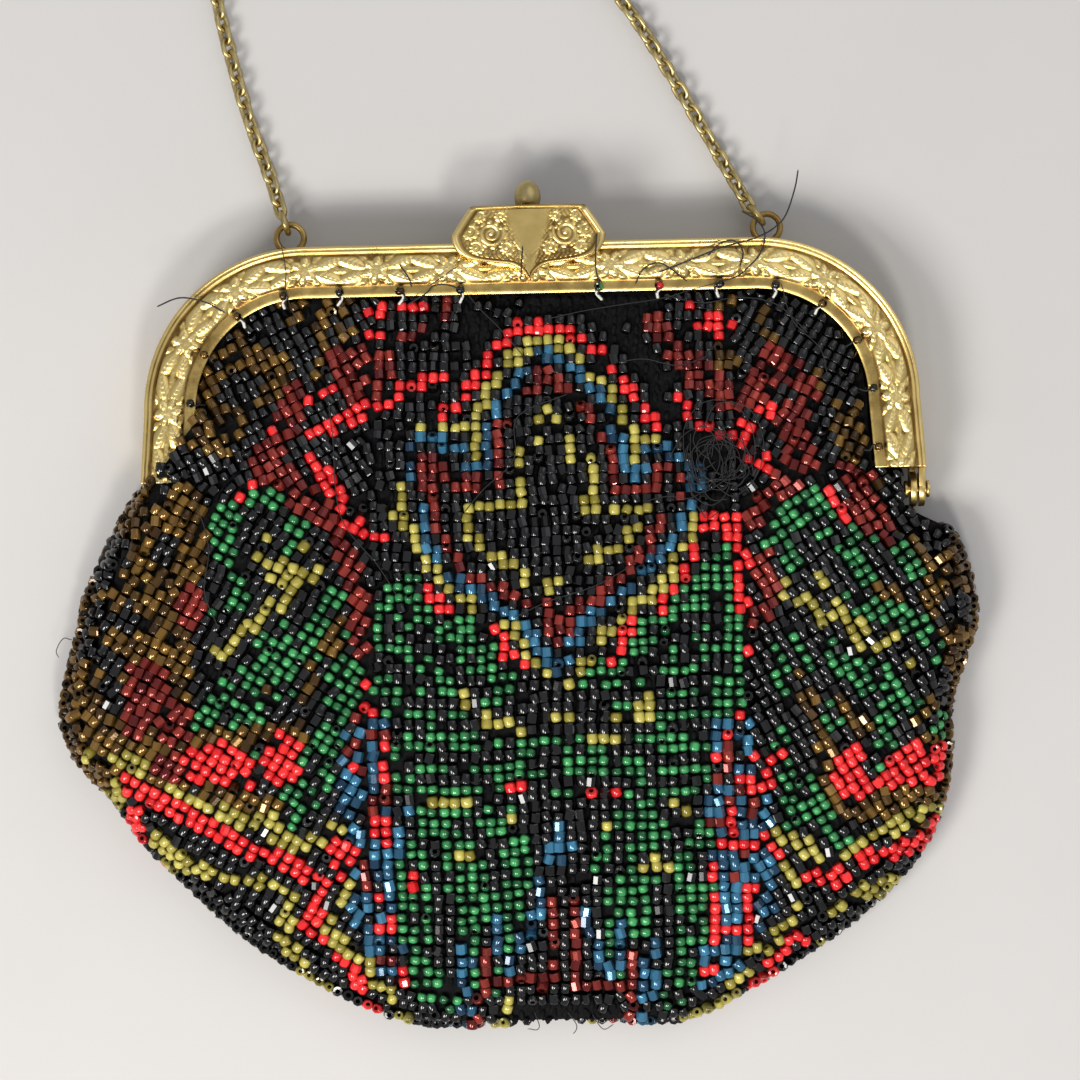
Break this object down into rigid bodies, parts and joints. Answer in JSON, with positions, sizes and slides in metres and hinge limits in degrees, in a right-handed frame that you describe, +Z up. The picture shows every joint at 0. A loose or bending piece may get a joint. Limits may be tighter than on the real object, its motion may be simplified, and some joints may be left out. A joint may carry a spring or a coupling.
{
  "type": "beaded evening bag",
  "caption": "Small beaded evening bag lying flat: arched stamped-brass frame with cartouche clasp and push knob, soft beaded pouch and fine brass carrying chain.",
  "frame": {"origin": "middle of the flat back of the pouch, on the surface that the bag lies on", "axes": "+Z up, out of the bag's front; +Y from the pouch towards the frame and the chain; +X to the right seen from the front"},
  "size_m": [0.1481, 0.2324, 0.0152],
  "materials": {
    "gilt_brass": "stamped sheet brass, gilt, rubbed bright on the relief",
    "old_brass": "plain brass wire and turned brass, dull with age",
    "beadwork": "black knitted cloth covered with coloured glass seed beads"
  },
  "bodies": {
    "bag": {"frame_front": "gilt_brass", "frame_back": "gilt_brass", "hinge_rivet_left": "gilt_brass", "hinge_rivet_right": "gilt_brass", "clasp_plate": "gilt_brass", "end_ring_left": "old_brass", "end_ring_right": "old_brass", "chain": "old_brass", "pouch": "beadwork"},
    "clasp_knob": {"clasp_knob": "old_brass"}
  },
  "joints": [
    {"name": "clasp_press", "type": "slide", "parent": "bag", "child": "clasp_knob", "axis": [0, -1, 0], "range_m": [0, 0.0015], "stiffness_N_per_m": 300}
  ]
}
